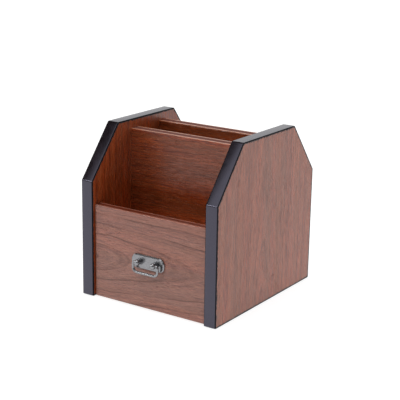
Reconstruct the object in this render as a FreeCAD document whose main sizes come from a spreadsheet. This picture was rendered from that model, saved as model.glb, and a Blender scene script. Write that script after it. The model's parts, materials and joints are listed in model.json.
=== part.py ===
"""Pen stand with a drawer: two six-sided side panels joined by a base, a compartment floor, two dividers
and a low back, over a drawer whose tall front carries a bail pull. Millimetres, +Z up, -Y to the front,
origin on the table at the middle of the case's footprint."""

import FreeCAD, Part
import os

import Sketcher
from FreeCAD import Vector

DOC = FreeCAD.newDocument("pen_stand")

# ---------------------------------------------------------------- driving dimensions

DIMENSIONS = [
    ("case_width", 145.0, "over the outer faces of the side panels"),
    ("case_depth", 163.0, "front edge to rear edge of a side panel"),
    ("case_height", 155.5, "table to the top edge of a side panel"),
    ("side_thickness", 12.0, "side panel and its edge band"),
    ("crease_height", 108.0, "where a side panel's upright edges turn inward"),
    ("chamfer_setback", 38.0, "how far the sloping edges lean in, front and rear"),
    ("band_thickness", 1.0, "edge band round a side panel"),
    ("band_crease", 2.4, "radius of the band at the outline's four upper corners"),
    ("band_foot", 1.2, "radius of the band at the outline's two corners on the table"),
    ("band_arris", 0.75, "radius along the band's two long edges"),
    ("board_thickness", 9.0, "base, compartment floor, back and drawer front"),
    ("board_arris", 0.8, "radius along a board's visible long edges"),
    ("divider_thickness", 12.0, "both dividers"),
    ("divider_top", 146.8, "table to the top of a divider"),
    ("front_divider_setback", 56.5, "side panels' front edge to the front divider"),
    ("rear_divider_setback", 101.0, "side panels' front edge to the rear divider"),
    ("panel_recess", 3.0, "how far drawer front and back sit inside the side panels' edges"),
    ("low_panel_top", 86.5, "table to the top of drawer front and back"),
    ("floor_underside", 50.0, "table to the underside of the compartment floor"),
    ("front_wall_thickness", 6.0, "low wall that keeps pens in while the drawer is out"),
    ("front_wall_top", 80.0, "table to the top of that wall"),
    ("dowel_radius", 2.5, "case dowels"),
    ("dowel_in_side", 8.5, "length of a case dowel inside a side panel"),
    ("dowel_in_board", 16.5, "length of a case dowel inside a board"),
    ("dowel_play", 0.05, "radial room round a dowel, brad or shank"),
    ("dowel_spare_depth", 0.5, "extra depth of a dowel hole"),
    ("board_dowel_reach", 50.0, "middle of base or floor to its outer dowels"),
    ("divider_dowel_low", 75.0, "table to a divider's lower dowel"),
    ("divider_dowel_high", 130.0, "table to a divider's upper dowel"),
    ("back_dowel_low", 20.0, "table to the back's lower dowel"),
    ("back_dowel_high", 70.0, "table to the back's upper dowel"),
    ("drawer_gap", 0.7, "room beside the drawer and behind its front"),
    ("front_ground_gap", 0.6, "table to the drawer front"),
    ("drawer_runner_gap", 0.3, "room under the drawer box"),
    ("drawer_wall", 6.0, "drawer sides and drawer back"),
    ("drawer_box_top", 47.0, "table to the top of the drawer sides"),
    ("drawer_rear_gap", 0.5, "drawer sides to the back panel"),
    ("bottom_thickness", 3.0, "drawer bottom"),
    ("groove_depth", 3.0, "how deep the drawer bottom is let in"),
    ("groove_rise", 3.0, "drawer box underside to the groove"),
    ("drawer_arris", 0.5, "radius along the top edges of the drawer box"),
    ("pin_radius", 1.5, "dowels between drawer front and drawer sides"),
    ("pin_in_front", 5.0, "their length inside the drawer front"),
    ("pin_in_side", 11.0, "their length inside a drawer side"),
    ("pin_inset", 9.0, "drawer side's top or bottom edge to a pin or brad"),
    ("brad_radius", 0.7, "brads through the drawer sides into the drawer back"),
    ("brad_length", 18.0, "length of a brad with its head"),
    ("brad_head_radius", 1.1, "head of a brad"),
    ("brad_head_thickness", 0.6, "head of a brad"),
    ("pull_height", 44.0, "table to the pull's hinge line"),
    ("plate_length", 35.0, "backplate of the pull"),
    ("plate_height", 13.0, "backplate of the pull"),
    ("plate_thickness", 2.0, "backplate of the pull"),
    ("plate_corner", 5.5, "corner radius of the backplate"),
    ("plate_bevel", 0.8, "bevel round the backplate's front face"),
    ("post_spacing", 17.0, "between the two posts"),
    ("post_radius", 2.6, "neck of a post"),
    ("collar_radius", 3.2, "foot of a post"),
    ("collar_thickness", 0.9, "foot of a post"),
    ("post_reach", 6.0, "backplate's face to the end of a post"),
    ("post_dome", 1.8, "radius round a post's front end"),
    ("shank_radius", 1.5, "threaded shank behind a post, drawn as a plain cylinder"),
    ("shank_length", 14.8, "backplate's face to the inner end of a shank"),
    ("washer_radius", 3.5, "washer under a nut"),
    ("washer_thickness", 0.5, "washer under a nut"),
    ("nut_across_flats", 5.5, "nut on a shank"),
    ("nut_thickness", 2.4, "nut on a shank"),
    ("nut_face_width", 0.9, "least width of a nut's face beyond its bore, for telling its rim from its bore"),
    ("hinge_standoff", 3.1, "backplate's face to the bail's hinge line"),
    ("wire_radius", 1.2, "bail wire"),
    ("bail_half_width", 13.2, "middle to the centre of a bail leg"),
    ("bail_drop", 9.0, "hinge line to the centre of the bail's bar"),
    ("bail_shoulder", 2.0, "bend from a bail's pin into its leg"),
    ("bail_corner", 4.2, "bend from a bail's leg into its bar"),
    ("bail_pin_end", 6.1, "middle to the inner end of a bail's pin"),
]

sheet = DOC.addObject("Spreadsheet::Sheet", "dims")
for row, (alias, size, meaning) in enumerate(DIMENSIONS, start=1):
    sheet.set(f"A{row}", alias)
    sheet.set(f"B{row}", str(size))
    sheet.set(f"C{row}", meaning)
    sheet.setAlias(f"B{row}", alias)
DOC.recompute()

# Places that several pieces share, as expressions on the sheet.

HALF_DEPTH = "dims.case_depth / 2"
INNER_HALF = "(dims.case_width / 2 - dims.side_thickness)"
PANEL_FACE = "(dims.panel_recess - dims.case_depth / 2)"
DRAWER_FRONT_BACK = f"({PANEL_FACE} + dims.board_thickness)"
BOARD_FRONT = f"({DRAWER_FRONT_BACK} + dims.drawer_gap)"
BACK_FRONT = "(dims.case_depth / 2 - dims.panel_recess - dims.board_thickness)"
BOARD_LENGTH = f"({BACK_FRONT} - {BOARD_FRONT})"
FLOOR_TOP = "(dims.floor_underside + dims.board_thickness)"
FRONT_DIVIDER_FACE = "(dims.front_divider_setback - dims.case_depth / 2)"
REAR_DIVIDER_FACE = "(dims.rear_divider_setback - dims.case_depth / 2)"
DIVIDER_MIDDLE = "dims.divider_thickness / 2"
DRAWER_HALF = f"({INNER_HALF} - dims.drawer_gap)"
DRAWER_INNER_HALF = f"({DRAWER_HALF} - dims.drawer_wall)"
DRAWER_UNDERSIDE = "(dims.board_thickness + dims.drawer_runner_gap)"
DRAWER_BOX_HEIGHT = f"(dims.drawer_box_top - {DRAWER_UNDERSIDE})"
DRAWER_BOX_LENGTH = f"({BACK_FRONT} - dims.drawer_rear_gap - {DRAWER_FRONT_BACK})"
GROOVE_LOW = f"({DRAWER_UNDERSIDE} + dims.groove_rise)"
PIN_LOW = f"({DRAWER_UNDERSIDE} + dims.pin_inset)"
PIN_HIGH = "(dims.drawer_box_top - dims.pin_inset)"

# Case dowels: (y, z) of each, by the board that they enter.

CASE_DOWELS = {
    "base_board": [
        (f"{side} * dims.board_dowel_reach", "dims.board_thickness / 2") for side in (-1, 1)
    ],
    "compartment_floor": [
        (f"{side} * dims.board_dowel_reach", "dims.floor_underside + dims.board_thickness / 2")
        for side in (-1, 0, 1)
    ],
    "front_divider": [
        (f"{FRONT_DIVIDER_FACE} + {DIVIDER_MIDDLE}", f"dims.divider_dowel_{level}")
        for level in ("low", "high")
    ],
    "rear_divider": [
        (f"{REAR_DIVIDER_FACE} + {DIVIDER_MIDDLE}", f"dims.divider_dowel_{level}")
        for level in ("low", "high")
    ],
    "back_panel": [
        (f"{BACK_FRONT} + dims.board_thickness / 2", f"dims.back_dowel_{level}")
        for level in ("low", "high")
    ],
}
ALL_CASE_DOWELS = [centre for centres in CASE_DOWELS.values() for centre in centres]

# ---------------------------------------------------------------- modelling helpers


def size_of(expression):
    """The value that an expression on the sheet has now."""
    return float(sheet.evalExpression(expression))


def new_body(label, x="0", y="0", z="0"):
    """A sub-part, with its own origin placed at x, y, z of the object's frame."""
    body = DOC.addObject("PartDesign::Body", label)
    body.Label = label
    for axis, place in (("x", x), ("y", y), ("z", z)):
        body.setExpression(f"Placement.Base.{axis}", place)
    return body


def new_sketch(body, name, plane, offset="0"):
    """A sketch on one of the body's origin planes, moved along that plane's normal by offset."""
    sketch = body.newObject("Sketcher::SketchObject", name)
    support = next(f for f in body.Origin.OriginFeatures if f.Role == plane)
    sketch.AttachmentSupport = [(support, "")]
    sketch.MapMode = "FlatFace"
    sketch.setExpression("AttachmentOffset.Base.z", offset)
    return sketch


def bind(sketch, constraint, expression):
    """Adds a dimension to a sketch and ties it to an expression."""
    index = sketch.addConstraint(constraint)
    name = f"size_{index}"
    sketch.renameConstraint(index, name)
    sketch.setExpression(f"Constraints.{name}", expression)


def pin_point(sketch, edge, end, across, up):
    """Ties one point of a sketch to its distances from the sketch's origin."""
    bind(sketch, Sketcher.Constraint("DistanceX", -1, 1, edge, end, size_of(across)), across)
    bind(sketch, Sketcher.Constraint("DistanceY", -1, 1, edge, end, size_of(up)), up)


def outline(sketch, corners):
    """A closed outline of straight lines through corners, each a pair of expressions."""
    points = [Vector(size_of(across), size_of(up), 0) for across, up in corners]
    following = points[1:] + points[:1]
    lines = [
        sketch.addGeometry(Part.LineSegment(a, b), False) for a, b in zip(points, following)
    ]
    for line, (across, up) in zip(lines, corners):
        pin_point(sketch, line, 1, across, up)
    for line, next_line in zip(lines, lines[1:] + lines[:1]):
        sketch.addConstraint(Sketcher.Constraint("Coincident", line, 2, next_line, 1))


def rectangle(sketch, left, right, bottom, top):
    outline(sketch, [(left, bottom), (right, bottom), (right, top), (left, top)])


def circles(sketch, centres, radius):
    """One circle at each centre, a pair of expressions."""
    for across, up in centres:
        centre = Vector(size_of(across), size_of(up), 0)
        ring = sketch.addGeometry(Part.Circle(centre, Vector(0, 0, 1), size_of(radius)), False)
        pin_point(sketch, ring, 3, across, up)
        bind(sketch, Sketcher.Constraint("Radius", ring, size_of(radius)), radius)


def pad(body, sketch, length, both_ways=False, backward=False):
    feature = body.newObject("PartDesign::Pad", f"{sketch.Name}_pad")
    feature.Profile = sketch
    feature.SideType = "Symmetric" if both_ways else "One side"
    feature.Reversed = backward
    feature.setExpression("Length", length)
    DOC.recompute()
    return feature


def cut(body, sketch, length, both_ways=False, backward=False):
    """A pocket, which must take material away."""
    before = body.Shape.Volume
    feature = body.newObject("PartDesign::Pocket", f"{sketch.Name}_cut")
    feature.Profile = sketch
    feature.SideType = "Symmetric" if both_ways else "One side"
    feature.Reversed = backward
    feature.setExpression("Length", length)
    DOC.recompute()
    if feature.Shape.Volume > before - 0.1:
        raise ValueError(f"{body.Label}: {feature.Name} cuts nothing")
    return feature


def mirror(body, features, plane):
    """Repeats features on the other side of one of the body's origin planes."""
    twin = body.newObject("PartDesign::Mirrored", f"{features[0].Name}_twin")
    twin.Originals = features
    twin.MirrorPlane = (next(f for f in body.Origin.OriginFeatures if f.Role == plane), [""])
    body.Tip = twin
    DOC.recompute()
    return twin


def edges_where(feature, wanted):
    """Names of the edges of a feature whose middle point and direction pass the test."""
    names = []
    for number, edge in enumerate(feature.Shape.Edges, start=1):
        middle = edge.valueAt((edge.FirstParameter + edge.LastParameter) / 2)
        along = edge.tangentAt((edge.FirstParameter + edge.LastParameter) / 2)
        if wanted(middle, along):
            names.append(f"Edge{number}")
    if not names:
        raise ValueError(f"{feature.Name}: no edge passes the test")
    return names


def round_edges(body, wanted, radius):
    """Rounds the edges of the body's tip that pass the test."""
    base = body.Tip
    feature = body.newObject("PartDesign::Fillet", f"{body.Name}_rounding")
    feature.Base = (base, edges_where(base, wanted))
    feature.setExpression("Radius", radius)
    DOC.recompute()
    return feature


def bevel_edges(body, wanted, size):
    """Bevels the edges of the body's tip that pass the test."""
    base = body.Tip
    feature = body.newObject("PartDesign::Chamfer", f"{body.Name}_bevel")
    feature.Base = (base, edges_where(base, wanted))
    feature.setExpression("Size", size)
    DOC.recompute()
    return feature


def near(a, b):
    return abs(a - b) < 0.01


# ---------------------------------------------------------------- the case


def side_corners(inset):
    """The six-sided outline of a side panel, moved inward by inset."""
    rise = "(dims.case_height - dims.crease_height)"
    slope = f"hypot(dims.chamfer_setback; {rise})"
    half = f"({HALF_DEPTH} - {inset})"
    crease = f"(dims.crease_height - {inset} * ({slope} - {rise}) / dims.chamfer_setback)"
    top_half = (
        f"({HALF_DEPTH} - dims.chamfer_setback"
        f" - {inset} * ({slope} - dims.chamfer_setback) / {rise})"
    )
    top = f"(dims.case_height - {inset})"
    return [
        (f"-{half}", inset),
        (half, inset),
        (half, crease),
        (top_half, top),
        (f"-{top_half}", top),
        (f"-{half}", crease),
    ]


def side_panel(label, side):
    """One side panel's wooden core; side is -1 for the left and 1 for the right."""
    body = new_body(label, x=f"{side} * {INNER_HALF}")
    profile = new_sketch(body, f"{label}_outline", "YZ_Plane")
    outline(profile, side_corners("dims.band_thickness"))
    pad(body, profile, "dims.side_thickness", backward=side < 0)
    holes = new_sketch(body, f"{label}_dowel_holes", "YZ_Plane")
    circles(holes, ALL_CASE_DOWELS, "dims.dowel_radius + dims.dowel_play")
    cut(body, holes, "dims.dowel_in_side + dims.dowel_spare_depth", backward=side > 0)
    return body


def edge_band(label, side):
    """The band glued round a side panel's edge."""
    body = new_body(label, x=f"{side} * {INNER_HALF}")
    profile = new_sketch(body, f"{label}_outline", "YZ_Plane")
    outline(profile, side_corners("0"))
    outline(profile, side_corners("dims.band_thickness"))
    pad(body, profile, "dims.side_thickness", backward=side < 0)
    on_outside = outside_test()
    round_edges(body, lambda p, t: abs(t.x) > 0.9 and on_outside(p) and not near(p.z, 0), "dims.band_crease")
    round_edges(body, lambda p, t: abs(t.x) > 0.9 and on_outside(p) and near(p.z, 0), "dims.band_foot")
    round_edges(body, lambda p, t: abs(t.x) < 0.1 and on_outside(p), "dims.band_arris")
    return body


def outside_test():
    """A test of whether a point lies on the outer surface of an edge band."""
    corners = [Vector(0, size_of(y), size_of(z)) for y, z in side_corners("dims.band_thickness")]
    core = Part.Face(Part.makePolygon(corners + corners[:1]))
    reach = size_of("dims.band_thickness") / 2

    def on_outside(point):
        spot = Part.Vertex(Vector(0, point.y, point.z))
        return core.distToShape(spot)[0] > reach

    return on_outside


def cross_board(label, front, depth, underside, height, round_top=False):
    """A board that spans the case between the side panels, doweled at both ends."""
    body = new_body(label, y=front, z=underside)
    profile = new_sketch(body, f"{label}_section", "YZ_Plane")
    rectangle(profile, "0", depth, "0", height)
    pad(body, profile, f"2 * {INNER_HALF}", both_ways=True)
    if round_top:
        top = size_of(height)
        round_edges(body, lambda p, t: abs(t.x) > 0.9 and near(p.z, top), "dims.board_arris")
    centres = [(f"({y}) - {front}", f"({z}) - {underside}") for y, z in CASE_DOWELS.get(label, [])]
    if centres:
        holes = new_sketch(body, f"{label}_dowel_holes", "YZ_Plane", INNER_HALF)
        circles(holes, centres, "dims.dowel_radius + dims.dowel_play")
        bored = cut(body, holes, "dims.dowel_in_board + dims.dowel_spare_depth")
        mirror(body, [bored], "YZ_Plane")
    return body


def case_dowels(label, side):
    """The dowels between one side panel and the boards, as separate solids in one sub-part."""
    body = new_body(label, x=f"{side} * {INNER_HALF}")
    body.AllowCompound = True
    inner_end = f"{-side} * dims.dowel_in_board"
    profile = new_sketch(body, f"{label}_section", "YZ_Plane", inner_end)
    circles(profile, ALL_CASE_DOWELS, "dims.dowel_radius")
    pad(body, profile, "dims.dowel_in_board + dims.dowel_in_side", backward=side < 0)
    bevel_edges(body, lambda p, t: abs(t.x) < 0.1, "dims.dowel_radius / 5")
    return body


def make_case():
    divider_height = f"(dims.divider_top - {FLOOR_TOP})"
    return [
        side_panel("left_side_panel", -1),
        side_panel("right_side_panel", 1),
        edge_band("left_edge_band", -1),
        edge_band("right_edge_band", 1),
        cross_board("base_board", BOARD_FRONT, BOARD_LENGTH, "0", "dims.board_thickness"),
        cross_board(
            "compartment_floor",
            BOARD_FRONT,
            BOARD_LENGTH,
            "dims.floor_underside",
            "dims.board_thickness",
        ),
        cross_board(
            "compartment_front_wall",
            BOARD_FRONT,
            "dims.front_wall_thickness",
            FLOOR_TOP,
            f"(dims.front_wall_top - {FLOOR_TOP})",
            round_top=True,
        ),
        cross_board(
            "front_divider",
            FRONT_DIVIDER_FACE,
            "dims.divider_thickness",
            FLOOR_TOP,
            divider_height,
            round_top=True,
        ),
        cross_board(
            "rear_divider",
            REAR_DIVIDER_FACE,
            "dims.divider_thickness",
            FLOOR_TOP,
            divider_height,
            round_top=True,
        ),
        cross_board(
            "back_panel",
            BACK_FRONT,
            "dims.board_thickness",
            "0",
            "dims.low_panel_top",
            round_top=True,
        ),
        case_dowels("left_case_dowels", -1),
        case_dowels("right_case_dowels", 1),
    ]


# ---------------------------------------------------------------- the drawer


def drawer_front():
    """The tall front, grooved for the drawer bottom and bored for the dowels and the pull."""
    label = "drawer_front"
    low = "dims.front_ground_gap"
    body = new_body(label, y=PANEL_FACE, z=low)
    height = f"(dims.low_panel_top - {low})"
    profile = new_sketch(body, f"{label}_outline", "XZ_Plane")
    rectangle(profile, f"-{DRAWER_HALF}", DRAWER_HALF, "0", height)
    pad(body, profile, "dims.board_thickness", backward=True)
    top = size_of(height)
    round_edges(
        body, lambda p, t: near(p.y, 0) or (near(p.z, top) and abs(t.x) > 0.9), "dims.board_arris"
    )
    groove = new_sketch(body, f"{label}_groove", "XZ_Plane", "-dims.board_thickness")
    reach = f"({DRAWER_INNER_HALF} + dims.groove_depth)"
    groove_low = f"({GROOVE_LOW} - {low})"
    rectangle(groove, f"-{reach}", reach, groove_low, f"{groove_low} + dims.bottom_thickness")
    cut(body, groove, "dims.groove_depth", backward=True)
    pins = new_sketch(body, f"{label}_dowel_holes", "XZ_Plane", "-dims.board_thickness")
    centres = [(across, f"{up} - {low}") for across, up in drawer_pins()]
    circles(pins, centres, "dims.pin_radius + dims.dowel_play")
    cut(body, pins, "dims.pin_in_front + dims.dowel_spare_depth", backward=True)
    shanks = new_sketch(body, f"{label}_shank_holes", "XZ_Plane")
    circles(shanks, post_centres(f"dims.pull_height - {low}"), "dims.shank_radius + dims.dowel_play")
    cut(body, shanks, "dims.board_thickness")
    return body


def drawer_pins():
    """(x, z) of the dowels between the drawer front and the drawer sides."""
    across = f"({DRAWER_HALF} - dims.drawer_wall / 2)"
    return [(f"{side} * {across}", up) for side in (-1, 1) for up in (PIN_LOW, PIN_HIGH)]


def post_centres(up):
    return [(f"{side} * dims.post_spacing / 2", up) for side in (-1, 1)]


def drawer_side(label, side):
    """One side of the drawer box; side is -1 for the left and 1 for the right."""
    body = new_body(label, x=f"{side} * {DRAWER_HALF}", y=DRAWER_FRONT_BACK, z=DRAWER_UNDERSIDE)
    profile = new_sketch(body, f"{label}_outline", "YZ_Plane")
    rectangle(profile, "0", DRAWER_BOX_LENGTH, "0", DRAWER_BOX_HEIGHT)
    pad(body, profile, "dims.drawer_wall", backward=side > 0)
    round_top_edges(body)
    groove = new_sketch(body, f"{label}_groove", "YZ_Plane", f"{-side} * dims.drawer_wall")
    groove_top = "dims.groove_rise + dims.bottom_thickness"
    rectangle(groove, "0", DRAWER_BOX_LENGTH, "dims.groove_rise", groove_top)
    cut(body, groove, "dims.groove_depth", backward=side > 0)
    pins = new_sketch(body, f"{label}_dowel_holes", "XZ_Plane")
    middle = f"{-side} * dims.drawer_wall / 2"
    circles(pins, [(middle, up) for up in box_levels()], "dims.pin_radius + dims.dowel_play")
    cut(body, pins, "dims.pin_in_side + dims.dowel_spare_depth")
    rear = f"{DRAWER_BOX_LENGTH} - dims.drawer_wall / 2"
    centres = [(rear, up) for up in box_levels()]
    brads = new_sketch(body, f"{label}_brad_holes", "YZ_Plane")
    circles(brads, centres, "dims.brad_radius + dims.dowel_play")
    cut(body, brads, "dims.drawer_wall", backward=side < 0)
    heads = new_sketch(body, f"{label}_brad_head_seats", "YZ_Plane")
    circles(heads, centres, "dims.brad_head_radius + dims.dowel_play")
    cut(body, heads, "dims.brad_head_thickness", backward=side < 0)
    return body


def box_levels():
    """Heights of the pins and brads above the drawer box's underside."""
    return ["dims.pin_inset", f"{DRAWER_BOX_HEIGHT} - dims.pin_inset"]


def round_top_edges(body):
    """Eases the long top edges of one board of the drawer box."""
    top = size_of(DRAWER_BOX_HEIGHT)
    long_axis = max("xy", key=lambda axis: getattr(body.Shape.BoundBox, f"{axis.upper()}Length"))
    round_edges(
        body,
        lambda p, t: near(p.z, top) and abs(getattr(t, long_axis)) > 0.9,
        "dims.drawer_arris",
    )


def drawer_back():
    label = "drawer_back"
    face = f"({BACK_FRONT} - dims.drawer_rear_gap - dims.drawer_wall)"
    body = new_body(label, y=face, z=DRAWER_UNDERSIDE)
    profile = new_sketch(body, f"{label}_section", "YZ_Plane")
    rectangle(profile, "0", "dims.drawer_wall", "0", DRAWER_BOX_HEIGHT)
    pad(body, profile, f"2 * {DRAWER_INNER_HALF}", both_ways=True)
    round_top_edges(body)
    groove = new_sketch(body, f"{label}_groove", "XZ_Plane")
    groove_top = "dims.groove_rise + dims.bottom_thickness"
    rectangle(groove, f"-{DRAWER_INNER_HALF}", DRAWER_INNER_HALF, "dims.groove_rise", groove_top)
    cut(body, groove, "dims.groove_depth")
    brads = new_sketch(body, f"{label}_brad_holes", "YZ_Plane", DRAWER_INNER_HALF)
    centres = [("dims.drawer_wall / 2", up) for up in box_levels()]
    circles(brads, centres, "dims.brad_radius + dims.dowel_play")
    depth = "dims.brad_length - dims.drawer_wall + dims.dowel_spare_depth"
    bored = cut(body, brads, depth)
    mirror(body, [bored], "YZ_Plane")
    return body


def drawer_bottom():
    """The thin bottom, let into grooves in all four boards round it."""
    label = "drawer_bottom"
    body = new_body(label, y=f"({DRAWER_FRONT_BACK} - dims.groove_depth)", z=GROOVE_LOW)
    profile = new_sketch(body, f"{label}_outline", "XY_Plane")
    reach = f"({DRAWER_INNER_HALF} + dims.groove_depth)"
    length = f"{DRAWER_BOX_LENGTH} - dims.drawer_wall + 2 * dims.groove_depth"
    rectangle(profile, f"-{reach}", reach, "0", length)
    pad(body, profile, "dims.bottom_thickness")
    return body


def drawer_front_dowels():
    label = "drawer_front_dowels"
    body = new_body(label, y=f"({DRAWER_FRONT_BACK} - dims.pin_in_front)")
    body.AllowCompound = True
    profile = new_sketch(body, f"{label}_section", "XZ_Plane")
    circles(profile, drawer_pins(), "dims.pin_radius")
    pad(body, profile, "dims.pin_in_front + dims.pin_in_side", backward=True)
    bevel_edges(body, lambda p, t: abs(t.y) < 0.1, "dims.pin_radius / 5")
    return body


def drawer_brads():
    """The brads that hold the drawer sides to the drawer back, heads flush."""
    label = "drawer_brads"
    rear = f"({BACK_FRONT} - dims.drawer_rear_gap - dims.drawer_wall / 2)"
    body = new_body(label, y=rear, z=DRAWER_UNDERSIDE)
    body.AllowCompound = True
    centres = [("0", up) for up in box_levels()]
    shank = new_sketch(body, f"{label}_shanks", "YZ_Plane", DRAWER_HALF)
    circles(shank, centres, "dims.brad_radius")
    shanks = pad(body, shank, "dims.brad_length", backward=True)
    head = new_sketch(body, f"{label}_heads", "YZ_Plane", DRAWER_HALF)
    circles(head, centres, "dims.brad_head_radius")
    heads = pad(body, head, "dims.brad_head_thickness", backward=True)
    mirror(body, [shanks, heads], "YZ_Plane")
    return body


def make_drawer():
    return [
        drawer_front(),
        drawer_side("drawer_left_side", -1),
        drawer_side("drawer_right_side", 1),
        drawer_back(),
        drawer_bottom(),
        drawer_front_dowels(),
        drawer_brads(),
    ]


# ---------------------------------------------------------------- the pull


def pull_backplate():
    """The bevelled plate behind the bail, with a hole for each post's shank."""
    label = "pull_backplate"
    body = new_body(label, y=PANEL_FACE, z="dims.pull_height")
    profile = new_sketch(body, f"{label}_outline", "XZ_Plane")
    half_length = "dims.plate_length / 2"
    half_height = "dims.plate_height / 2"
    rectangle(profile, f"-{half_length}", half_length, f"-{half_height}", half_height)
    pad(body, profile, "dims.plate_thickness")
    round_edges(body, lambda p, t: abs(t.y) > 0.9, "dims.plate_corner")
    face = -size_of("dims.plate_thickness")
    bevel_edges(body, lambda p, t: near(p.y, face), "dims.plate_bevel")
    shanks = new_sketch(body, f"{label}_shank_holes", "XZ_Plane", "dims.plate_thickness")
    circles(shanks, post_centres("0"), "dims.shank_radius + dims.dowel_play")
    cut(body, shanks, "dims.plate_thickness")
    return body


def pull_post(label, side):
    """A turned post, cross-bored for the bail, with its shank through plate and drawer front."""
    body = new_body(
        label, x=f"{side} * dims.post_spacing / 2", y=PANEL_FACE, z="dims.pull_height"
    )
    profile = new_sketch(body, f"{label}_half_section", "XY_Plane")
    foot = "-dims.plate_thickness"
    shank_end = "dims.shank_length - dims.plate_thickness"
    collar_top = f"{foot} - dims.collar_thickness"
    tip = f"{foot} - dims.post_reach"
    outline(
        profile,
        [
            ("0", shank_end),
            ("dims.shank_radius", shank_end),
            ("dims.shank_radius", foot),
            ("dims.collar_radius", foot),
            ("dims.collar_radius", collar_top),
            ("dims.post_radius", collar_top),
            ("dims.post_radius", tip),
            ("0", tip),
        ],
    )
    turned = body.newObject("PartDesign::Revolution", f"{label}_turning")
    turned.Profile = profile
    turned.ReferenceAxis = (profile, ["V_Axis"])
    turned.Angle = 360
    DOC.recompute()
    tip_place = size_of(tip)
    round_edges(body, lambda p, t: near(p.y, tip_place), "dims.post_dome")
    bore = new_sketch(body, f"{label}_cross_bore", "YZ_Plane")
    hinge = f"{foot} - dims.hinge_standoff"
    circles(bore, [(hinge, "0")], "dims.wire_radius + dims.dowel_play")
    cut(body, bore, "2 * dims.collar_radius", both_ways=True)
    return body


def pull_washers():
    label = "pull_washers"
    body = new_body(label, y=DRAWER_FRONT_BACK, z="dims.pull_height")
    body.AllowCompound = True
    profile = new_sketch(body, f"{label}_outline", "XZ_Plane")
    circles(profile, post_centres("0"), "dims.washer_radius")
    circles(profile, post_centres("0"), "dims.shank_radius + dims.dowel_play")
    pad(body, profile, "dims.washer_thickness", backward=True)
    return body


def pull_nuts():
    """Six-sided nuts on the posts' shanks, inside the drawer."""
    label = "pull_nuts"
    body = new_body(label, y=f"({DRAWER_FRONT_BACK} + dims.washer_thickness)", z="dims.pull_height")
    body.AllowCompound = True
    profile = new_sketch(body, f"{label}_outline", "XZ_Plane")
    corner_radius = "dims.nut_across_flats / sqrt(3)"
    for middle, _ in post_centres("0"):
        corners = [
            (f"{middle} + {corner_radius} * cos({angle})", f"{corner_radius} * sin({angle})")
            for angle in range(0, 360, 60)
        ]
        outline(profile, corners)
    circles(profile, post_centres("0"), "dims.shank_radius + dims.dowel_play")
    pad(body, profile, "dims.nut_thickness", backward=True)
    outer = size_of("dims.nut_thickness")
    post = size_of("dims.post_spacing / 2")
    bore_and_face = size_of("dims.shank_radius + dims.dowel_play + dims.nut_face_width")

    def on_rim(p, t):
        from_post = Vector(abs(p.x) - post, 0, p.z).Length
        return near(p.y, outer) and from_post > bore_and_face

    bevel_edges(body, on_rim, "dims.nut_thickness / 8")
    return body


def bent_wire(sketch, corners, radii):
    """A path of upright and level runs through corners, each inner corner rounded by an arc.
    Every corner turns to the left."""
    points = [Vector(size_of(across), size_of(up), 0) for across, up in corners]
    ways = [(b - a).normalize() for a, b in zip(points, points[1:])]
    bends = [0.0] + [size_of(radius) for radius in radii] + [0.0]
    chain = []
    for number, way in enumerate(ways):
        start = points[number] + way * bends[number]
        end = points[number + 1] - way * bends[number + 1]
        run = sketch.addGeometry(Part.LineSegment(start, end), False)
        level = abs(way.x) > abs(way.y)
        sketch.addConstraint(Sketcher.Constraint("Horizontal" if level else "Vertical", run))
        across, up = corners[number]
        kind, place = ("DistanceY", up) if level else ("DistanceX", across)
        bind(sketch, Sketcher.Constraint(kind, -1, 1, run, 1, size_of(place)), place)
        chain.append(run)
        if number + 1 < len(ways):
            turn = ways[number + 1]
            bend = bends[number + 1]
            centre = end + turn * bend
            arc = Part.Arc(
                end, centre + (way - turn).normalize() * bend, centre + way * bend
            )
            chain.append(sketch.addGeometry(arc, False))
            radius = radii[number]
            bind(sketch, Sketcher.Constraint("Radius", chain[-1], bend), radius)
    for a, b in zip(chain, chain[1:]):
        sketch.addConstraint(Sketcher.Constraint("Tangent", a, 2, b, 1))
    for run, end, across in ((chain[0], 1, corners[0][0]), (chain[-1], 2, corners[-1][0])):
        bind(sketch, Sketcher.Constraint("DistanceX", -1, 1, run, end, size_of(across)), across)


def pull_bail():
    """The bent wire that swings in the posts, hanging at rest."""
    label = "pull_bail"
    body = new_body(label, y=PANEL_FACE, z="dims.pull_height")
    hinge = "dims.plate_thickness + dims.hinge_standoff"
    path = new_sketch(body, f"{label}_path", "XZ_Plane", hinge)
    half = "dims.bail_half_width"
    bar = "-dims.bail_drop"
    bent_wire(
        path,
        [
            ("-dims.bail_pin_end", "0"),
            (f"-{half}", "0"),
            (f"-{half}", bar),
            (half, bar),
            (half, "0"),
            ("dims.bail_pin_end", "0"),
        ],
        ["dims.bail_shoulder", "dims.bail_corner", "dims.bail_corner", "dims.bail_shoulder"],
    )
    section = new_sketch(body, f"{label}_section", "YZ_Plane", "-dims.bail_pin_end")
    circles(section, [(f"-({hinge})", "0")], "dims.wire_radius")
    wire = body.newObject("PartDesign::AdditivePipe", f"{label}_wire")
    wire.Profile = section
    wire.Spine = path
    DOC.recompute()
    return body


def make_pull():
    return [
        pull_backplate(),
        pull_post("pull_left_post", -1),
        pull_post("pull_right_post", 1),
        pull_washers(),
        pull_nuts(),
        pull_bail(),
    ]


# ---------------------------------------------------------------- check and write


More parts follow.
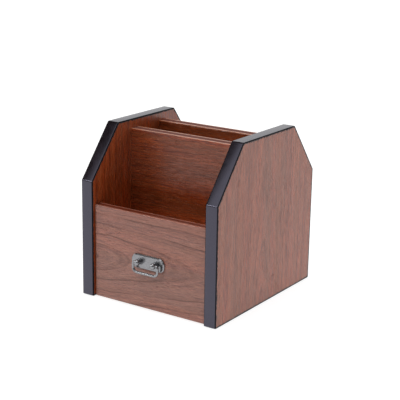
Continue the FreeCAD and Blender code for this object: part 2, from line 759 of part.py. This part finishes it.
def write(pieces):
    """Checks every object of the document and each piece's shape, then writes one file a piece."""
    failed = [o.Name for o in DOC.Objects if "Invalid" in o.State or "Error" in o.State]
    loose = [
        o.Name
        for o in DOC.Objects
        if o.TypeId == "Sketcher::SketchObject" and not o.FullyConstrained
    ]
    if failed or loose:
        raise ValueError(f"failed: {failed}; sketches with free points: {loose}")
    os.makedirs("parts", exist_ok=True)
    for piece in pieces:
        shape = piece.Shape
        if shape.isNull() or not shape.isValid() or not shape.Solids:
            raise ValueError(f"{piece.Label}: bad shape")
        shape.exportStep(os.path.join("parts", f"{piece.Label}.step"))
        box = shape.BoundBox
        print(
            f"{piece.Label:24} {len(shape.Solids):3} solids {shape.Volume:10.1f} mm3"
            f"  x {box.XMin:7.2f} {box.XMax:7.2f}  y {box.YMin:7.2f} {box.YMax:7.2f}"
            f"  z {box.ZMin:7.2f} {box.ZMax:7.2f}"
        )


write(make_case() + make_drawer() + make_pull())
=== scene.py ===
"""The looks of the desktop pen stand: walnut laminate, black edging, nickel pull, light, floor and camera.

Lengths are in metres in the part's own frame: x to the right, y to the back, z up. Patterns are worked
out in millimetres of that frame, so each one stays on its piece as the piece moves.
"""

import json
import math
from dataclasses import dataclass

import bmesh
import bpy
from mathutils import Matrix, Vector


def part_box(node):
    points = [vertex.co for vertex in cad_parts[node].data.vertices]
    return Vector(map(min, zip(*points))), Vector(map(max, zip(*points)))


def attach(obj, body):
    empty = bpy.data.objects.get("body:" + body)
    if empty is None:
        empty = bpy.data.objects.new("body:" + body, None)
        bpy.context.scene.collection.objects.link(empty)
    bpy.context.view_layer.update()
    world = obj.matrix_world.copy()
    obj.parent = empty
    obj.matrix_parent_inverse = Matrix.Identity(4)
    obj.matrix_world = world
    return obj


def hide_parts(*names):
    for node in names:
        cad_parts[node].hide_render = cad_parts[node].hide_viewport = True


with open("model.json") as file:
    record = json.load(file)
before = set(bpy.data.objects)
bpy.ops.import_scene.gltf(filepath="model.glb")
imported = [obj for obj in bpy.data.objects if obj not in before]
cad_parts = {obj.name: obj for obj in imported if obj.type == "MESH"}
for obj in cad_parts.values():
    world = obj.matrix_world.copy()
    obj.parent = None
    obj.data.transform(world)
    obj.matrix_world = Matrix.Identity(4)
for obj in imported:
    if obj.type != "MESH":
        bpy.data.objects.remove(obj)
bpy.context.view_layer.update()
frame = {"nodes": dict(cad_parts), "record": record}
nodes = frame["nodes"]
scene = bpy.context.scene

# ---------------------------------------------------------------- camera

PHOTO_PIXELS = 400
FOCAL_PIXELS = 1117.1
SENSOR_MM = 36.0
CAMERA_YAW = math.radians(33.824)
CAMERA_PITCH = math.radians(15.954)
CAMERA_ROLL = math.radians(0.967)
CAMERA_DISTANCE = 1.0274
CAMERA_TARGET = Vector((0.00025, 0.0, 0.08327))
CAMERA_REACH = 30


def make_camera():
    """The photograph's viewpoint: a long lens, turned to the right and a little above."""
    back = Vector(
        (
            math.sin(CAMERA_YAW) * math.cos(CAMERA_PITCH),
            -math.cos(CAMERA_YAW) * math.cos(CAMERA_PITCH),
            math.sin(CAMERA_PITCH),
        )
    )
    level = Vector((math.cos(CAMERA_YAW), math.sin(CAMERA_YAW), 0))
    upright = back.cross(level)
    right = math.cos(CAMERA_ROLL) * level + math.sin(CAMERA_ROLL) * upright
    up = math.cos(CAMERA_ROLL) * upright - math.sin(CAMERA_ROLL) * level
    data = bpy.data.cameras.new("camera")
    data.sensor_width = SENSOR_MM
    data.lens = FOCAL_PIXELS / PHOTO_PIXELS * SENSOR_MM
    data.clip_end = CAMERA_REACH
    camera = bpy.data.objects.new("camera", data)
    turn = Matrix((right, up, back)).transposed().to_4x4()
    camera.matrix_world = Matrix.Translation(CAMERA_TARGET + back * CAMERA_DISTANCE) @ turn
    scene.collection.objects.link(camera)
    scene.camera = camera


# ---------------------------------------------------------------- node helpers


class Graph:
    """A node tree, with short ways to add nodes to it.

    A value is a number, a colour or another node's output.
    """

    def __init__(self, tree):
        self.tree = tree

    def feed(self, socket, value):
        if isinstance(value, bpy.types.NodeSocket):
            self.tree.links.new(value, socket)
        else:
            socket.default_value = value

    def add(self, kind, inputs, **settings):
        node = self.tree.nodes.new(f"ShaderNode{kind}")
        for name, value in settings.items():
            setattr(node, name, value)
        for socket, value in inputs.items():
            self.feed(node.inputs[socket], value)
        return node

    def maths(self, operation, *values):
        return self.add("Math", dict(enumerate(values)), operation=operation).outputs[0]

    def point(self, x, y, z):
        return self.add("CombineXYZ", {0: x, 1: y, 2: z}).outputs[0]

    def noise(self, place, detail=2.0, roughness=0.5):
        inputs = {"Vector": place, "Scale": 1.0, "Detail": detail, "Roughness": roughness}
        return self.add("TexNoise", inputs).outputs[0]

    def remap(self, value, low, high, to_low=0.0, to_high=1.0, smooth=False):
        inputs = {"Value": value, "From Min": low, "From Max": high, "To Min": to_low, "To Max": to_high}
        kind = "SMOOTHSTEP" if smooth else "LINEAR"
        return self.add("MapRange", inputs, interpolation_type=kind).outputs[0]

    def mix(self, factor, first, second):
        """Mixes two colours."""
        return self.add("Mix", {0: factor, 6: first, 7: second}, data_type="RGBA").outputs[2]

    def blend(self, factor, first, second):
        """Mixes two numbers."""
        return self.add("Mix", {0: factor, 2: first, 3: second}, data_type="FLOAT").outputs[0]

    def ramp(self, value, stops):
        """A number that goes through (place, height) stops."""
        node = self.add("ValToRGB", {0: value})
        points = node.color_ramp.elements
        while len(points) < len(stops):
            points.new(1.0)
        for point, (place, height) in zip(points, stops):
            point.position = place
            point.color = (height, height, height, 1)
        return node.outputs[0]

    def millimetres(self):
        """The x, y and z of the surface point, in the piece's own coordinates."""
        place = self.add("TexCoord", {}).outputs["Object"]
        scaled = self.add("VectorMath", {0: place, "Scale": 1000.0}, operation="SCALE").outputs[0]
        parts = self.add("SeparateXYZ", {0: scaled}).outputs
        return {"x": parts[0], "y": parts[1], "z": parts[2]}

    def facing(self, axis):
        """How far the surface faces along an axis of the world, from -1 to 1."""
        normal = self.add("NewGeometry", {}).outputs["Normal"]
        parts = self.add("SeparateXYZ", {0: normal}).outputs
        return parts["xyz".index(axis)]


class Finish(Graph):
    """A material: one principled shader, and the nodes that feed it."""

    def __init__(self, name, constants):
        self.material = bpy.data.materials.new(name)
        self.material.use_nodes = True
        super().__init__(self.material.node_tree)
        self.shader = self.tree.nodes["Principled BSDF"]
        for socket, value in constants.items():
            self.shader.inputs[socket].default_value = value

    def wear(self, colour, roughness, height, depth):
        """Feeds the shader. A height of 1 stands for `depth` in metres."""
        bump = self.add("Bump", {"Height": height, "Distance": depth, "Strength": 1.0})
        self.feed(self.shader.inputs["Base Color"], colour)
        self.feed(self.shader.inputs["Roughness"], roughness)
        self.feed(self.shader.inputs["Normal"], bump.outputs[0])
        return self.material


# ---------------------------------------------------------------- wood

DEEP = (0.150, 0.018, 0.002, 1)
PALE = (0.410, 0.064, 0.009, 1)
TAN = (0.400, 0.110, 0.028, 1)
DRAB = (0.150, 0.042, 0.012, 1)
# PAINTED_GLINT is a painted highlight: a pale colour laid on in short flecks where the grain would catch
# glints of light.
PAINTED_GLINT = (0.620, 0.220, 0.110, 1)
# Painted reflection: the pale sheen of the bright room on the lacquer, laid into the colour.
PAINTED_SHEEN = (0.380, 0.300, 0.280, 1)
LINE = (0.100, 0.022, 0.008, 1)
PORE = (0.110, 0.020, 0.007, 1)
TOP_PAINT = (0.110, 0.018, 0.006, 1)
# The paler foil returns along the top edges, partly a painted highlight.
TOP_FOIL_HIGHLIGHT = (0.520, 0.250, 0.150, 1)
# A thin dark line along the band: partly glue, partly painted shade in the joint and along the bottom edge.
SEAM_SHADE = (0.012, 0.010, 0.014, 1)

# How strongly each figure colours the wood; the glints are a painted highlight. Pale grain takes more of the
# painted sheen, a pale reflection laid into the colour, by a share of the board's own sheen and by a little
# more.
MID_TONE = 0.5
GRAIN_CONTRAST = 0.6
LANE_STRENGTH = 0.3
BAND_STRENGTH = 0.45
PAINTED_GLINT_STRENGTH = 0.4
# Painted light: the side panels' inner faces are coloured paler than their outer faces.
INNER_PAINTED_LIGHT = 0.18
GRAIN_IN_SHEEN = 0.25
GRAIN_SHEEN = 0.05

FOIL_SPECULAR = 0.65
FOIL_ROUGHNESS = 0.29
GRAIN_SHINE = 0.06
PORE_ROUGHNESS = 0.2
RETURN_ROUGHNESS = 0.25
SEAM_ROUGHNESS = 0.7
FIBRE_HEIGHT = 0.3
PORE_DEPTH = 0.00006

# The side panels' outline and the bands round it, in millimetres.
CREASE_HEIGHT = 108.0
CHAMFER_SETBACK = 38.0
BAND_THICKNESS = 1.0

# Millimetres on the boards' faces and edges. The widths of the dark seam line, partly painted shade, are
# counted from the band's back.
FOIL_RETURN = 1.9
PAINT_BLUR = 0.5
FACE_SKIN = 0.5
SEAM_NARROWEST = 0.3
SEAM_WIDEST = 1.3
SEAM_BLUR = 0.15
SEAM_TATTER = 2.5

# From no to yes: how far a face turns up where it counts as the top, and the noise that widens the seam.
TURNED_UP = (0.93, 0.99)
TATTERED = (0.35, 0.7)

# One growth ring, from each line to the next, as (share of the way, darkness).
RING_PROFILE = [
    (0.0, 0.7),
    (0.04, 0.15),
    (0.25, 0.0),
    (0.7, 0.0),
    (0.91, 0.3),
    (0.96, 1.0),
    (1.0, 0.7),
]


@dataclass
class Figure:
    """Noise drawn out along the grain, in flecks so many millimetres long and wide.

    Its shift keeps it apart from the other figures. Noise from `low` to `high` becomes `least` to `most`. A
    figure that bends follows the growth rings.
    """

    length: float
    width: float
    shift: float
    low: float
    high: float
    least: float = 0.0
    most: float = 1.0
    detail: float = 1.0
    roughness: float = 0.5
    bends: bool = False


WOBBLE = Figure(60, 26, 0, 0.0, 1.0, -1.0, 1.0, detail=2.0)
UNEVEN = Figure(300, 16, 5, 0.0, 1.0, -0.35, 0.35, detail=2.0, bends=True)
PATCHES = Figure(40, 6, 11, 0.35, 0.62, 0.35, 1.0, detail=2.0, bends=True)
BANDS = Figure(120, 15, 19, 0.38, 0.62)
LANES = Figure(260, 3.5, 43, 0.42, 0.6)
STREAKS = Figure(200, 1.3, 23, 0.36, 0.64, -1.0, 1.0, detail=4.0, roughness=0.7, bends=True)
FIBRES = Figure(12, 0.55, 29, 0.34, 0.66, -1.0, 1.0)
# Where the painted glint highlight is laid on.
PAINTED_GLINTS = Figure(8, 0.5, 47, 0.6, 0.7)
PORES = Figure(6, 0.55, 31, 0.6, 0.68)
CLUSTERS = Figure(50, 14, 37, 0.4, 0.6, 0.35, 1.0, detail=2.0)


@dataclass
class Cut:
    """How a board is cut from the log, in millimetres along and across its grain.

    The growth rings run round a heart line. It is `heart` across the board, and level with the face at
    `start`. From there it sinks behind the face towards `sink` deep, and moves across the board by `drift`,
    most of it within `reach`, which is negative where it sinks the other way. The rings waver by `wobble`.
    `lines`, `pores` and `painted_sheen` say how strong the ring lines and pores are, and how much pale
    reflection is painted over the board as a sheen.
    """

    along: str
    across: str
    heart: float
    start: float
    sink: float
    reach: float
    drift: float = 0.0
    wobble: float = 4.0
    spacing: float = 9.8
    first_ring: float = 0.0
    lines: float = 0.7
    pores: float = 0.75
    painted_sheen: float = 0.0
    seed: float = 0.0


def side_cut(heart, start, sink, reach, seed):
    """The straight, close grain of a side panel, which stands upright."""
    return Cut(
        "z",
        "y",
        heart,
        start,
        sink,
        reach,
        wobble=1.2,
        spacing=6.5,
        lines=0.35,
        pores=0.8,
        painted_sheen=0.1,
        seed=seed,
    )


CUTS = {
    "drawer_front": Cut(
        "x", "z", 38.5, -65, 27, 69, drift=5, first_ring=0.73, lines=0.9, painted_sheen=0.27, seed=1.7
    ),
    "compartment_front_wall": Cut("x", "z", 60, -90, 40, 200, seed=8.3),
    "front_divider": Cut("x", "z", 160, -100, 60, 300, spacing=7.0, lines=0.4, seed=14.1),
    "rear_divider": Cut("x", "z", 60, 100, 60, -260, spacing=7.0, lines=0.4, seed=21.9),
    "back_panel": Cut("x", "z", 34, 80, 34, -90, drift=-6, painted_sheen=0.2, seed=33.3),
    "base_board": Cut("x", "y", 10, -120, 60, 240, seed=40.7),
    "compartment_floor": Cut("x", "y", -20, 120, 60, -240, seed=52.2),
    "left_side_panel": side_cut(14, -40, 30, 220, seed=61.4),
    "right_side_panel": side_cut(-6, -60, 34, 240, seed=75.8),
}


@dataclass
class TopEdge:
    """A board's top edge: how strongly its foil returns are painted pale, partly a painted highlight, and
    how rough the paint between is.
    """

    foil: float
    paint_roughness: float


TOP_EDGES = {
    "drawer_front": TopEdge(0.0, 0.3),
    "compartment_front_wall": TopEdge(0.0, 0.3),
    "front_divider": TopEdge(1.0, 0.9),
    "rear_divider": TopEdge(1.0, 0.9),
    "back_panel": TopEdge(0.0, 0.8),
}
EDGED = ("left_side_panel", "right_side_panel")


class Foil(Finish):
    """The walnut foil on one board: growth rings, bands of tone, fine streaks and short dark pores."""

    def __init__(self, name, cut):
        super().__init__(f"walnut_{name}", {"Specular IOR Level": FOIL_SPECULAR})
        self.name = name
        self.cut = cut
        self.place = self.millimetres()
        self.through = next(axis for axis in "xyz" if axis not in (cut.along, cut.across))
        self.radius = self.from_heart()

    def figure(self, kind):
        """One of the figures, as it lies on this board."""
        sideways = self.radius if kind.bends else self.place[self.cut.across]
        deep = self.place[self.through]
        spot = self.point(
            self.maths("DIVIDE", self.place[self.cut.along], kind.length),
            self.maths("DIVIDE", sideways, kind.width),
            self.maths("MULTIPLY_ADD", deep, 1 / kind.width, self.cut.seed + kind.shift),
        )
        noise = self.noise(spot, kind.detail, kind.roughness)
        return self.remap(noise, kind.low, kind.high, kind.least, kind.most)

    def from_heart(self):
        """How far the surface lies from the heart line."""
        cut, maths = self.cut, self.maths
        from_start = maths("SUBTRACT", self.place[cut.along], cut.start)
        sunk = maths("SUBTRACT", 1.0, maths("EXPONENT", maths("DIVIDE", from_start, -cut.reach)))
        heart = maths("MULTIPLY_ADD", sunk, cut.drift, cut.heart)
        wobble = maths("MULTIPLY", self.figure(WOBBLE), cut.wobble)
        beside = maths("ADD", maths("SUBTRACT", self.place[cut.across], heart), wobble)
        below = maths("MULTIPLY", sunk, cut.sink)
        return maths("SQRT", maths("ADD", maths("POWER", beside, 2.0), maths("POWER", below, 2.0)))

    def ring_lines(self):
        """The dark lines where one growth ring meets the next, stronger in some patches than in others."""
        cut, maths = self.cut, self.maths
        first = maths("ADD", self.figure(UNEVEN), cut.first_ring)
        turns = maths("ADD", maths("DIVIDE", self.radius, cut.spacing), first)
        ring = self.ramp(maths("FRACT", turns), RING_PROFILE)
        return maths("MULTIPLY", maths("MULTIPLY", ring, self.figure(PATCHES)), cut.lines)

    def outer_face(self):
        """1 on a side panel's outer face and 0 elsewhere on it."""
        low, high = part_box(self.name)
        outer = max(-low.x, high.x) * 1000
        aside = self.maths("ABSOLUTE", self.place["x"])
        return self.remap(aside, outer - 2 * FACE_SKIN, outer - FACE_SKIN)

    def between_foils(self):
        """1 in the middle of a board's thickness, and 0 where the foils of its two faces return."""
        low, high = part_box(self.name)
        axis = "xyz".index(self.through)
        middle = (low[axis] + high[axis]) / 2 * 1000
        half = (high[axis] - low[axis]) / 2 * 1000
        off_middle = self.maths("ABSOLUTE", self.maths("SUBTRACT", self.place[self.through], middle))
        return self.remap(off_middle, half - FOIL_RETURN, half - FOIL_RETURN - PAINT_BLUR)

    def seam(self):
        """The thin dark line where a side panel meets its band, a little ragged, on both faces and along the
        bottom: partly a glue line, partly painted shade in that joint.
        """
        maths, place = self.maths, self.place
        low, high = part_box("left_edge_band")
        half_depth, top = high.y * 1000, high.z * 1000
        rise = top - CREASE_HEIGHT
        slope = math.hypot(rise, CHAMFER_SETBACK)
        in_depth = maths("SUBTRACT", half_depth, maths("ABSOLUTE", place["y"]))
        in_height = maths("SUBTRACT", top, place["z"])
        below_crease = maths("SUBTRACT", CREASE_HEIGHT, place["z"])
        from_crease = maths("MULTIPLY", below_crease, CHAMFER_SETBACK / slope)
        in_chamfer = maths("MULTIPLY_ADD", in_depth, rise / slope, from_crease)
        inside = maths("MINIMUM", in_depth, in_height)
        inside = maths("MINIMUM", inside, maths("MINIMUM", in_chamfer, place["z"]))
        ragged = self.noise(self.point(place["x"], place["y"], maths("DIVIDE", place["z"], SEAM_TATTER)))
        narrowest, widest = BAND_THICKNESS + SEAM_NARROWEST, BAND_THICKNESS + SEAM_WIDEST
        width = self.remap(ragged, *TATTERED, narrowest, widest)
        return self.remap(maths("SUBTRACT", inside, width), SEAM_BLUR, -SEAM_BLUR)


def wood(name, cut):
    """The walnut foil on a board, with painted glints and painted sheen, and its top edge and its dark seam
    line, partly painted shade, where it has them.
    """
    foil = Foil(name, cut)
    maths = foil.maths
    fibres = foil.figure(FIBRES)
    grain = maths("MULTIPLY", maths("ADD", foil.figure(STREAKS), fibres), GRAIN_CONTRAST)
    pores = maths("MULTIPLY", foil.figure(PORES), foil.figure(CLUSTERS))
    tone, sheen = MID_TONE, cut.painted_sheen
    # Painted light: the inner faces are made paler, and the painted sheen lies on the outer faces only.
    if name in EDGED:
        outer = foil.outer_face()
        tone = maths("MULTIPLY_ADD", outer, -INNER_PAINTED_LIGHT, MID_TONE + INNER_PAINTED_LIGHT)
        sheen = maths("MULTIPLY", outer, cut.painted_sheen)

    colour = foil.mix(maths("ADD", grain, tone), DEEP, PALE)
    colour = foil.mix(maths("MULTIPLY", foil.figure(LANES), LANE_STRENGTH), colour, TAN)
    colour = foil.mix(maths("MULTIPLY", foil.figure(BANDS), BAND_STRENGTH), colour, DRAB)
    # Painted highlight: pale glints mixed into the colour.
    colour = foil.mix(maths("MULTIPLY", foil.figure(PAINTED_GLINTS), PAINTED_GLINT_STRENGTH), colour, PAINTED_GLINT)
    # Painted reflection: a pale sheen mixed in, on the outer faces of the side panels and over the other
    # boards that have one.
    sheen = maths("MULTIPLY", sheen, maths("MULTIPLY_ADD", grain, GRAIN_IN_SHEEN, 1.0))
    colour = foil.mix(maths("MULTIPLY_ADD", grain, GRAIN_SHEEN, sheen), colour, PAINTED_SHEEN)
    colour = foil.mix(foil.ring_lines(), colour, LINE)
    colour = foil.mix(maths("MULTIPLY", pores, cut.pores), colour, PORE)
    roughness = maths("MULTIPLY_ADD", pores, PORE_ROUGHNESS, FOIL_ROUGHNESS)
    roughness = maths("MULTIPLY_ADD", grain, -GRAIN_SHINE, roughness)

    if name in TOP_EDGES:
        edge = TOP_EDGES[name]
        on_top = foil.remap(foil.facing("z"), *TURNED_UP)
        painted = maths("MULTIPLY", on_top, foil.between_foils())
        # Paler foil returns, partly a painted highlight along the top edges; the dark paint between is the
        # edge's own colour.
        colour = foil.mix(maths("MULTIPLY", on_top, edge.foil), colour, TOP_FOIL_HIGHLIGHT)
        colour = foil.mix(painted, colour, TOP_PAINT)
        roughness = foil.blend(on_top, roughness, RETURN_ROUGHNESS)
        roughness = foil.blend(painted, roughness, edge.paint_roughness)
    if name in EDGED:
        # Partly glue line, partly painted shade where the band meets the face and along the bottom.
        seam = foil.seam()
        colour = foil.mix(seam, colour, SEAM_SHADE)
        roughness = maths("MAXIMUM", roughness, maths("MULTIPLY", seam, SEAM_ROUGHNESS))
    height = maths("SUBTRACT", maths("MULTIPLY", fibres, FIBRE_HEIGHT), pores)
    return foil.wear(colour, roughness, height, PORE_DEPTH)


# ---------------------------------------------------------------- other finishes

EDGING_TONES = (0.009, 0.006, 0.007, 1), (0.013, 0.008, 0.010, 1)
EDGING_SHEEN = (0.76, 0.75, 1.0, 1)
TRIMMED_TONES = (0.004, 0.003, 0.005, 1), (0.010, 0.008, 0.011, 1)
PLYWOOD_TONES = (0.62, 0.44, 0.26, 1), (0.47, 0.30, 0.16, 1)
BEECH_TONES = (0.56, 0.36, 0.21, 1), (0.36, 0.2, 0.1, 1)
NICKEL_TONES = (0.31, 0.31, 0.325, 1), (0.23, 0.23, 0.24, 1)
STEEL_TONES = (0.56, 0.56, 0.57, 1), (0.42, 0.42, 0.43, 1)
# The stretch of a noise that goes from one tone to the other: nearly all of it, or only the peaks.
NEARLY_ALL = (0.3, 0.7)
PEAKS = (0.4, 0.65)


class Mottled(Finish):
    """A finish that wavers between two tones and two roughnesses, as noise does."""

    def flecks(self, along_x, along_y, along_z, detail=2.0):
        """Noise in flecks of these sizes, in millimetres."""
        place = self.millimetres()
        sizes = {"x": along_x, "y": along_y, "z": along_z}
        spot = self.point(*(self.maths("DIVIDE", place[axis], size) for axis, size in sizes.items()))
        return self.noise(spot, detail)

    def waver(self, noise, tones, roughnesses, height, depth, contrast=NEARLY_ALL):
        """Goes with the noise from the first tone and roughness to the second ones."""
        colour = self.mix(self.remap(noise, *contrast), *tones)
        return self.wear(colour, self.remap(noise, *NEARLY_ALL, *roughnesses), height, depth)


def edging():
    """Black plastic edge strip: glossy, faintly uneven, with a bluish sheen."""
    finish = Mottled("edging", {"Specular IOR Level": 1.0, "Specular Tint": EDGING_SHEEN})
    clouds = finish.flecks(9.0, 9.0, 9.0)
    skin = finish.flecks(1.0, 1.0, 1.0)
    return finish.waver(clouds, EDGING_TONES, (0.13, 0.19), skin, depth=0.000003)


def trimmed_edging():
    """The same plastic where it was trimmed along its two arrises: dull and scraped."""
    finish = Mottled("edging_trimmed", {"Specular IOR Level": 0.12})
    scrapes = finish.flecks(1.5, 1.5, 1.5)
    return finish.waver(scrapes, TRIMMED_TONES, (0.6, 0.8), scrapes, depth=0.00003)


def plywood():
    """Pale birch plywood: long soft grain on the faces, thin plies along the edges."""
    finish = Mottled("plywood", {})
    grain = finish.flecks(3.0, 30.0, 1.6, detail=3.0)
    return finish.waver(grain, PLYWOOD_TONES, (0.45, 0.6), grain, depth=0.00003)


def beech():
    """Turned beech dowel with short dark flecks."""
    finish = Mottled("beech", {})
    flecks = finish.flecks(2.0, 0.5, 0.5)
    return finish.waver(flecks, BEECH_TONES, (0.5, 0.65), flecks, depth=0.00003, contrast=PEAKS)


def metal(name, tones, roughnesses):
    """Plated metal with fine brush marks along x."""
    finish = Mottled(name, {"Metallic": 1.0})
    brushed = finish.flecks(4.0, 1 / 6, 1 / 6, detail=3.0)
    return finish.waver(brushed, tones, roughnesses, brushed, depth=0.000004)


# ---------------------------------------------------------------- edge bands

BAND_CREASE = 0.0024
BAND_FOOT = 0.0012
BAND_CROWN = 0.00012
BAND_ARRIS = 0.0006
BAND_INSET = 0.00005
ARC_STEPS = 10
ARRIS_STEPS = 6
CROWN_STEPS = 14
SHARP_ANGLE = math.radians(35)


def rounded_outline(corners, radii):
    """Points and outward normals round a closed outline.

    Its corners turn clockwise, each rounded to its own radius.
    """
    stations = []
    for i, (corner, radius) in enumerate(zip(corners, radii)):
        before = (corner - corners[i - 1]).normalized()
        after = (corners[(i + 1) % len(corners)] - corner).normalized()
        turn = before.angle(after)
        out_before, out_after = Vector((-before.y, before.x)), Vector((-after.y, after.x))
        middle = corner - before * radius * math.tan(turn / 2) - out_before * radius
        for step in range(ARC_STEPS + 1):
            outward = out_before.slerp(out_after, step / ARC_STEPS)
            stations.append((middle + outward * radius, outward))
    return stations


def band_section(width):
    """The strip's section, as (place across the panel's edge, depth below its face).

    It has a low crown, a rounded arris each side and a flat back.
    """
    across = [BAND_ARRIS * (1 - math.cos(math.pi / 2 * i / ARRIS_STEPS)) for i in range(ARRIS_STEPS + 1)]
    across += [BAND_ARRIS + (width - 2 * BAND_ARRIS) * i / CROWN_STEPS for i in range(1, CROWN_STEPS)]
    across += [width - w for w in reversed(across[: ARRIS_STEPS + 1])]
    section = []
    for w in across:
        from_side = min(w, width - w)
        crown = BAND_CROWN * ((w - width / 2) / (width / 2)) ** 2
        short = max(0.0, BAND_ARRIS - from_side)
        arris = BAND_ARRIS - math.sqrt(BAND_ARRIS**2 - short**2)
        section.append((min(max(w, BAND_INSET), width - BAND_INSET), crown + arris))
    inner = BAND_THICKNESS / 1000
    return [(BAND_INSET, inner)] + section + [(width - BAND_INSET, inner)]


def edge_band(side, glossy, trimmed):
    """One side panel's edge strip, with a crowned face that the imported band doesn't have."""
    name = f"{side}_edge_band"
    low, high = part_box(name)
    half, top = high.y, high.z
    crease, setback = CREASE_HEIGHT / 1000, CHAMFER_SETBACK / 1000
    rising = [Vector((-half, 0)), Vector((-half, crease)), Vector((-half + setback, top))]
    falling = [Vector((-corner.x, corner.y)) for corner in reversed(rising)]
    radii = [BAND_FOOT] + [BAND_CREASE] * 4 + [BAND_FOOT]
    stations = rounded_outline(rising + falling, radii)
    section = band_section(high.x - low.x)
    shape = bmesh.new()
    rings = []
    for spot, outward in stations:
        ring = []
        for across, depth in section:
            inside = spot - outward * depth
            ring.append(shape.verts.new((low.x + across, inside.x, inside.y)))
        rings.append(ring)
    count = len(section)
    first_crowned, last_crowned = ARRIS_STEPS + 1, count - ARRIS_STEPS - 3
    for i, ring in enumerate(rings):
        following = rings[(i + 1) % len(rings)]
        for j in range(count):
            k = (j + 1) % count
            face = shape.faces.new((ring[j], ring[k], following[k], following[j]))
            face.material_index = 0 if first_crowned <= j <= last_crowned else 1
    bmesh.ops.recalc_face_normals(shape, faces=shape.faces)
    mesh = bpy.data.meshes.new(f"{side}_edge_strip")
    shape.to_mesh(mesh)
    shape.free()
    mesh.shade_smooth()
    mesh.set_sharp_from_angle(angle=SHARP_ANGLE)
    strip = bpy.data.objects.new(f"{side}_edge_strip", mesh)
    scene.collection.objects.link(strip)
    mesh.materials.append(glossy)
    mesh.materials.append(trimmed)
    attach(strip, "case")
    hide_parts(name)


def dress():
    """Gives every node of the frame its finish."""
    plain = {
        "black_edging": edging(),
        "drawer_plywood": plywood(),
        "beech_dowel": beech(),
        "nickel_plate": metal("nickel", NICKEL_TONES, (0.22, 0.32)),
        "plain_steel": metal("steel", STEEL_TONES, (0.25, 0.4)),
    }
    trimmed = trimmed_edging()
    for side in ("left", "right"):
        edge_band(side, plain["black_edging"], trimmed)
    for part in frame["record"]["subparts"]:
        name, slot = part["node"], part["material_slot"]
        material = wood(name, CUTS[name]) if name in CUTS else plain[slot]
        piece = nodes[name]
        piece.data.materials.clear()
        piece.data.materials.append(material)


# ---------------------------------------------------------------- floor and light

FLOOR_HALF = 6.0
FLOOR_FRONT = -0.9
FLOOR_DROP = 0.0002
FLOOR_GREY = (0.35, 0.35, 0.35, 1)
FLOOR_ROUGHNESS = 0.9
FLOOR_GLOW = 0.78
FLOOR_LIGHT = 0.55
WHITE = (1, 1, 1, 1)


def make_floor():
    """A wide white table top, lit from within like a photographer's light table.

    Its glow is what the camera and the mirrored rays meet. It lights the stand less brightly.
    """
    mesh = bpy.data.meshes.new("floor")
    corners = [
        (-FLOOR_HALF, FLOOR_FRONT, 0),
        (FLOOR_HALF, FLOOR_FRONT, 0),
        (FLOOR_HALF, FLOOR_HALF, 0),
        (-FLOOR_HALF, FLOOR_HALF, 0),
    ]
    mesh.from_pydata(corners, [], [(0, 1, 2, 3)])
    floor = bpy.data.objects.new("floor", mesh)
    floor.location.z = -FLOOR_DROP
    scene.collection.objects.link(floor)
    constants = {"Base Color": FLOOR_GREY, "Roughness": FLOOR_ROUGHNESS, "Emission Color": WHITE}
    table = Finish("floor_white", constants)
    lighting = table.add("LightPath", {}).outputs["Is Diffuse Ray"]
    glow = table.maths("MULTIPLY_ADD", lighting, FLOOR_LIGHT - FLOOR_GLOW, FLOOR_GLOW)
    table.feed(table.shader.inputs["Emission Strength"], glow)
    mesh.materials.append(table.material)


@dataclass
class Softbox:
    """A soft-edged oblong of light in the studio's sky, in degrees.

    Its azimuth is 0 in front of the stand (-y) and grows towards the left (-x).
    """

    azimuth: float
    elevation: float
    width: float
    height: float
    strength: float


SOFTBOXES = [
    Softbox(0, 78, 360, 16, 5.2),
    Softbox(75, 15, 30, 20, 3.5),
    Softbox(105, 15, 30, 25, 1.1),
    Softbox(180, 28, 150, 16, 1.25),
    Softbox(180, 11, 150, 18, 0.85),
    Softbox(21, 50, 62, 30, 1.2),
    Softbox(5, 50, 40, 24, 0.7),
    Softbox(37, 26, 20, 10, 8.6),
    Softbox(270, 42, 60, 20, 0.9),
    Softbox(315, 35, 40, 20, 0.8),
]
SOFT_RIM = 3.0


def make_light():
    """A dark studio with softboxes round it. The camera sees plain white beyond the floor."""
    world = bpy.data.worlds.new("studio")
    world.use_nodes = True
    studio = Graph(world.node_tree)
    maths = studio.maths
    ray = studio.add("TexCoord", {}).outputs["Generated"]
    x, y, z = studio.add("SeparateXYZ", {0: ray}).outputs
    leftward, forward = maths("MULTIPLY", x, -1.0), maths("MULTIPLY", y, -1.0)
    azimuth = maths("DEGREES", maths("ARCTAN2", leftward, forward))
    elevation = maths("DEGREES", maths("ARCSINE", z))
    total = 0.0
    for box in SOFTBOXES:
        aside = maths("ABSOLUTE", maths("WRAP", maths("SUBTRACT", azimuth, box.azimuth), 180.0, -180.0))
        above = maths("ABSOLUTE", maths("SUBTRACT", elevation, box.elevation))
        half_width, half_height = box.width / 2, box.height / 2
        across = studio.remap(aside, half_width + SOFT_RIM, half_width - SOFT_RIM, smooth=True)
        upright = studio.remap(above, half_height + SOFT_RIM, half_height - SOFT_RIM, smooth=True)
        total = maths("MULTIPLY_ADD", maths("MULTIPLY", across, upright), box.strength, total)
    seen = studio.add("LightPath", {}).outputs["Is Camera Ray"]
    strength = maths("ADD", total, maths("MULTIPLY", seen, maths("SUBTRACT", 1.0, total)))
    background = studio.tree.nodes["Background"]
    background.inputs["Color"].default_value = WHITE
    studio.feed(background.inputs["Strength"], strength)
    scene.world = world


# ---------------------------------------------------------------- making

make_camera()
dress()
make_floor()
make_light()
scene.view_settings.view_transform = "Standard"
